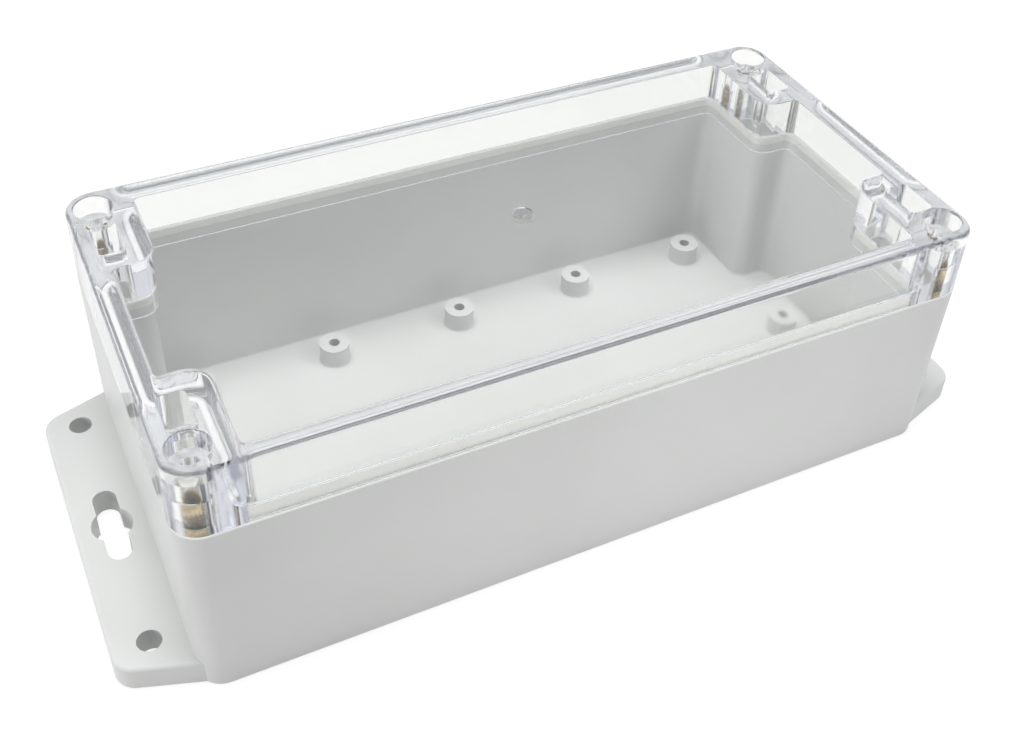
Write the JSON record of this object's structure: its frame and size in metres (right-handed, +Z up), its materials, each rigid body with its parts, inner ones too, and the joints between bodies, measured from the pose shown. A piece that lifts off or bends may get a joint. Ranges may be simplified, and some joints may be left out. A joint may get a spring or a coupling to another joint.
{
  "type": "flanged plastic enclosure with clear lid",
  "caption": "Shallow rectangular wall-mount box in pale grey plastic with end flanges, a deep clear lid, corner screw columns, brass inserts and board bosses.",
  "frame": {"origin": "centre of the flat underside", "axes": "+Z up out of the base towards the lid, +X along the long side, -Y towards the long side that faces the picture's camera"},
  "size_m": [0.186, 0.08, 0.055],
  "materials": {
    "grey_abs": "fine satin moulded",
    "clear_polycarbonate": "polished, clear",
    "gasket_rubber": "matt silicone",
    "insert_brass": "turned and knurled"
  },
  "bodies": {
    "root": {"base": "grey_abs", "lid": "clear_polycarbonate", "gasket": "gasket_rubber", "insert_front_left": "insert_brass", "insert_front_right": "insert_brass", "insert_back_left": "insert_brass", "insert_back_right": "insert_brass"}
  },
  "joints": []
}
